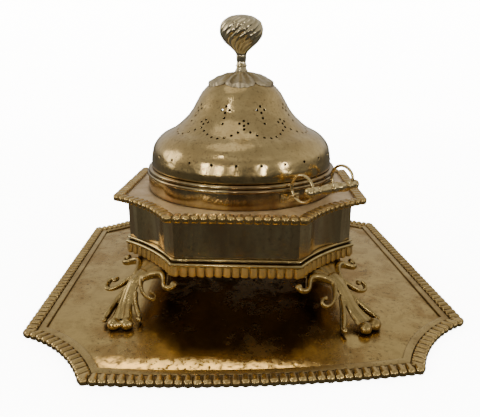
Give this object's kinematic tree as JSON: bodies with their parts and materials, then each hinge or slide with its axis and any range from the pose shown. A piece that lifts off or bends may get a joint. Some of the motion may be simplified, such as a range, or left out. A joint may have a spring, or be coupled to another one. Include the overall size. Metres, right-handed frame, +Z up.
{
  "type": "antique brazier",
  "caption": "Antique brass charcoal brazier: hollow-cornered stand on scrolled leaf legs over a lobed tray, round fire bowl with a drop handle, and a pierced domed lid with a fluted knob.",
  "frame": {"origin": "on the table under the middle of the tray; the stand, bowl and lid share the vertical axis through it", "axes": "+Z up, -Y towards the front side of the stand; the loose tray is turned 5.35 degrees from the stand's sides"},
  "size_m": [0.5914, 0.5923, 0.386],
  "materials": {
    "tray_sheet": "aged, mottled",
    "tray_band": "satin",
    "lobed_edge": "aged satin",
    "stand_sheet": "dark polished",
    "moulding": "satin",
    "cast_leg": "dull cast",
    "fastener": "satin",
    "pan_sheet": "dark, heat stained",
    "polished_brass": "polished, hazed",
    "handle_brass": "worn polished",
    "cast_rosette": "dull cast",
    "knob_brass": "polished"
  },
  "bodies": {
    "tray": {"tray_plate": "tray_sheet", "tray_edge_front": "lobed_edge", "tray_edge_right": "lobed_edge", "tray_edge_back": "lobed_edge", "tray_edge_left": "lobed_edge", "tray_corner_edge_front_right": "lobed_edge", "tray_corner_edge_back_right": "lobed_edge", "tray_corner_edge_back_left": "lobed_edge", "tray_corner_edge_front_left": "lobed_edge", "tray_band_front": "tray_band", "tray_band_right": "tray_band", "tray_band_back": "tray_band", "tray_band_left": "tray_band", "tray_corner_band_front_right": "tray_band", "tray_corner_band_back_right": "tray_band", "tray_corner_band_back_left": "tray_band", "tray_corner_band_front_left": "tray_band"},
    "stand": {"stand_walls": "stand_sheet", "base_moulding": "moulding", "base_lobes_front": "lobed_edge", "base_lobes_right": "lobed_edge", "base_lobes_back": "lobed_edge", "base_lobes_left": "lobed_edge", "base_corner_lobes_front_right": "lobed_edge", "base_corner_lobes_back_right": "lobed_edge", "base_corner_lobes_back_left": "lobed_edge", "base_corner_lobes_front_left": "lobed_edge", "top_plate": "stand_sheet", "plate_edge_front": "lobed_edge", "plate_edge_right": "lobed_edge", "plate_edge_back": "lobed_edge", "plate_edge_left": "lobed_edge", "plate_corner_edge_front_right": "lobed_edge", "plate_corner_edge_back_right": "lobed_edge", "plate_corner_edge_back_left": "lobed_edge", "plate_corner_edge_front_left": "lobed_edge", "leg_front_right": "cast_leg", "leg_back_right": "cast_leg", "leg_back_left": "cast_leg", "leg_front_left": "cast_leg", "leg_screws": "fastener"},
    "bowl": {"fire_pan": "pan_sheet", "bowl_collar": "polished_brass", "collar_lip": "polished_brass", "handle_lug_front": "handle_brass", "handle_lug_back": "handle_brass", "lug_rivets": "fastener"},
    "handle": {"handle_ring_front": "handle_brass", "handle_ring_back": "handle_brass", "handle_grip": "handle_brass"},
    "lid": {"lid_dome": "polished_brass", "lid_rim": "polished_brass", "rosette": "cast_rosette", "finial_stem": "knob_brass", "finial_knob": "knob_brass", "finial_washer": "fastener", "finial_nut": "fastener"}
  },
  "joints": [
    {"name": "stand_lift", "type": "slide", "parent": "tray", "child": "stand", "axis": [0, 0, 1], "range_m": [0, 0.3]},
    {"name": "bowl_lift", "type": "slide", "parent": "stand", "child": "bowl", "axis": [0, 0, 1], "range_m": [0, 0.2]},
    {"name": "lid_lift", "type": "slide", "parent": "bowl", "child": "lid", "axis": [0, 0, 1], "range_m": [0, 0.2]},
    {"name": "handle_swing", "type": "hinge", "parent": "bowl", "child": "handle", "pos_m": [0.1011, -0.1011, 0.16337], "axis": [0.7071, 0.7071, 0], "range_deg": [-10, 26]}
  ]
}
